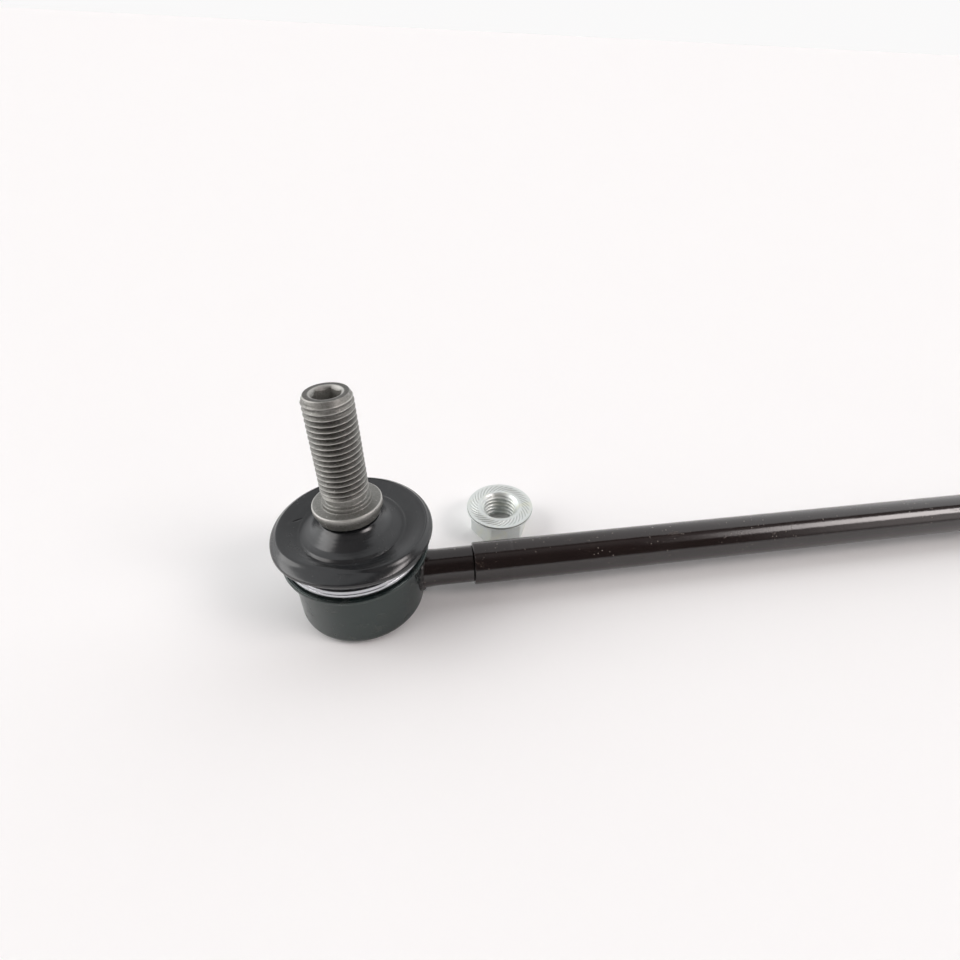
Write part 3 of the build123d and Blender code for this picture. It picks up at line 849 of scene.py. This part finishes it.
def floor():
    """Plain pale surface that the link lies on."""
    mesh = bpy.data.meshes.new("floor")
    reach = 30.0
    corners = [(-reach, -reach, 0), (reach, -reach, 0), (reach, reach, 0), (-reach, reach, 0)]
    mesh.from_pydata(corners, [], [(0, 1, 2, 3)])
    made = bpy.data.objects.new("floor", mesh)
    bpy.context.scene.collection.objects.link(made)
    f = Finish("floor_paint", roughness=0.9, Specular_IOR_Level=0.0)
    cloud = f.noise(60.0, detail=3)
    light = tuple(c + 0.01 for c in FLOOR_COLOUR)
    made.data.materials.append(f.finish(f.blend(cloud, FLOOR_COLOUR, light)))


class Sky:
    """The world's nodes, with short ways to shape its light by direction."""

    def __init__(self, world):
        world.use_nodes = True
        self.nodes = world.node_tree.nodes
        self.links = world.node_tree.links
        self.nodes.clear()
        split = self.node("SeparateXYZ")
        self.links.new(self.node("TexCoord").outputs["Generated"], split.inputs[0])
        tilt = self.node("Math", operation="ARCTAN2")
        self.links.new(split.outputs["Y"], tilt.inputs[0])
        self.links.new(split.outputs["Z"], tilt.inputs[1])
        self.side = split.outputs["X"]  # from -1 at the left to 1 at the right
        self.rise = split.outputs["Z"]  # 0 at the horizon and 1 straight above
        self.lean = tilt.outputs["Value"]  # radians from straight above, positive away from the camera

    def node(self, kind, **settings):
        """New node of a kind, with its settings."""
        made = self.nodes.new("ShaderNode" + kind)
        for name, value in settings.items():
            setattr(made, name, value)
        return made

    def spread(self, value, low, high, to_low, to_high, interpolation="SMOOTHSTEP"):
        """Value spread from low..high onto to_low..to_high and held there beyond."""
        made = self.node("MapRange", interpolation_type=interpolation)
        self.links.new(value, made.inputs["Value"])
        limits = {"From Min": low, "From Max": high, "To Min": to_low, "To Max": to_high}
        for socket, number in limits.items():
            made.inputs[socket].default_value = number
        return made.outputs["Result"]

    def combined(self, how, *values):
        """Two or more values put together by one operation."""
        total = values[0]
        for value in values[1:]:
            made = self.node("Math", operation=how)
            self.links.new(total, made.inputs[0])
            self.links.new(value, made.inputs[1])
            total = made.outputs["Value"]
        return total


def overhead(sky):
    """Light from above and in front: a ceiling that darkens towards the camera, and a glow at the left."""
    front = sky.spread(sky.lean, -0.65, -0.10, 0.1, 0.40)
    behind = sky.spread(sky.lean, -0.02, 0.06, 1.0, 0.1)
    ceiling = sky.combined("MULTIPLY", front, behind)
    left = sky.spread(sky.side, -0.85, -0.35, 0.8, 0.0)
    height = sky.spread(sky.lean, -1.4, -0.9, 0.3, 1.0)
    glow = sky.combined("MULTIPLY", left, height)
    horizon = sky.spread(sky.rise, 0.0, 0.16, 0.45, 0.0)
    return sky.combined("ADD", ceiling, glow, horizon)


def right_strip(sky):
    """Bright strip at the right that draws the long highlight on the tube, with a fainter shelf below it."""
    low = sky.spread(sky.lean, -0.76, -0.62, 0.0, 1.0)
    high = sky.spread(sky.lean, -0.28, -0.16, 1.0, 0.0)
    strip = sky.combined("MULTIPLY", low, high, sky.spread(sky.side, 0.42, 0.70, 0.0, 11.0))
    low = sky.spread(sky.lean, -1.5, -1.2, 0.0, 1.0)
    high = sky.spread(sky.lean, -0.64, -0.56, 1.0, 0.0)
    shelf = sky.combined("MULTIPLY", low, high, sky.spread(sky.side, 0.50, 0.70, 0.0, 1.5))
    brighter = sky.combined("MAXIMUM", strip, shelf)
    return sky.combined("MULTIPLY", brighter, sky.spread(sky.side, 0.76, 0.84, 1.0, 0.0))


def room_light(sky):
    """Background node with the light of the room: cool from behind, warmer from the front."""
    behind = sky.spread(sky.lean, 0.12, 0.17, 0.0, 1.0)
    left = sky.spread(sky.side, -0.40, 0.05, 1.25, 0.84)
    right = sky.spread(sky.side, 0.05, 0.72, 0.0, 0.76)
    dome = sky.combined("MULTIPLY", behind, sky.combined("ADD", left, right))
    room = sky.combined("ADD", overhead(sky), dome, right_strip(sky))
    tint = sky.node("Mix", data_type="RGBA")
    sky.links.new(behind, tint.inputs["Factor"])
    warm, cool = (socket for socket in tint.inputs if socket.type == "RGBA")
    warm.default_value = (1.0, 0.93, 0.92, 1)
    cool.default_value = (0.985, 0.99, 1.0, 1)
    light = sky.node("Background")
    colour = next(socket for socket in tint.outputs if socket.type == "RGBA")
    sky.links.new(colour, light.inputs["Color"])
    strength = sky.spread(room, 0.0, 20.0, 0.0, 20.0 * ROOM_LEVEL, "LINEAR")
    sky.links.new(strength, light.inputs["Strength"])
    return light


def backdrop_share(sky):
    """1 for rays that show the plain backdrop: the camera's, those through glass, and low mirrored ones."""
    path = sky.node("LightPath")
    low = sky.spread(sky.rise, 0.02, 0.10, 1.0, 0.0)
    mirrored = sky.combined("MULTIPLY", path.outputs["Is Glossy Ray"], low)
    camera_ray, through = path.outputs["Is Camera Ray"], path.outputs["Is Transmission Ray"]
    return sky.combined("MAXIMUM", camera_ray, through, mirrored)


def studio_world():
    """Soft white light from behind and above, darker in front, and a plain pale backdrop at the horizon."""
    world = bpy.data.worlds.new("studio")
    bpy.context.scene.world = world
    sky = Sky(world)
    backdrop = sky.node("Background")
    backdrop.inputs["Color"].default_value = (*FLOOR_COLOUR, 1)
    choose = sky.node("MixShader")
    sky.links.new(backdrop_share(sky), choose.inputs["Fac"])
    sky.links.new(room_light(sky).outputs[0], choose.inputs[1])
    sky.links.new(backdrop.outputs[0], choose.inputs[2])
    sky.links.new(choose.outputs[0], sky.node("OutputWorld").inputs["Surface"])


def key_lamp():
    """Soft sun from the left, far enough away to light the whole floor evenly."""
    data = bpy.data.lights.new("key", "SUN")
    data.energy = KEY_STRENGTH
    data.angle = math.radians(KEY_WIDTH)
    data.color = (1.0, 0.985, 0.97)
    made = bpy.data.objects.new("key", data)
    made.rotation_mode = "QUATERNION"
    made.rotation_quaternion = Vector(KEY_DIRECTION).to_track_quat("Z", "Y")
    bpy.context.scene.collection.objects.link(made)


def camera():
    """Camera at the photo's place, with its focal length and a small shift for the crop."""
    data = bpy.data.cameras.new("camera")
    data.sensor_width = 36.0
    data.lens = FOCAL_PIXELS / IMAGE_PIXELS * data.sensor_width
    data.shift_x = (IMAGE_PIXELS / 2 - PRINCIPAL_POINT[0]) / IMAGE_PIXELS
    data.shift_y = (PRINCIPAL_POINT[1] - IMAGE_PIXELS / 2) / IMAGE_PIXELS
    data.clip_start = 0.005
    data.clip_end = 100.0
    made = bpy.data.objects.new("camera", data)
    made.location = CAMERA_PLACE
    made.rotation_euler = Euler([math.radians(a) for a in CAMERA_TURN], "XYZ")
    bpy.context.scene.collection.objects.link(made)
    bpy.context.scene.camera = made


finishes = {
    "tube_paint": tube_paint(),
    "housing_coat": housing_coat(),
    "plate_coat": plate_coat(),
    "weld_coat": weld_coat(),
    "stud_steel": stud_steel(),
    "boot_rubber": boot_rubber(),
    "ring_steel": ring_steel(),
    "seat_plastic": moulded("seat_plastic", (0.70, 0.69, 0.63), (0.80, 0.79, 0.74)),
    "bushing_plastic": moulded("bushing_plastic", (0.03, 0.03, 0.03), (0.06, 0.06, 0.06)),
    "nut_zinc": nut_zinc(),
}
finish_cad_nodes()
for side in SIDES:
    ball_stud(side)
    flange_nut(side)
    dust_boot(side)
    clamp_ring(side)
    weld_bead(side)

floor()
studio_world()
key_lamp()
camera()
bpy.context.scene.view_settings.view_transform = "Standard"
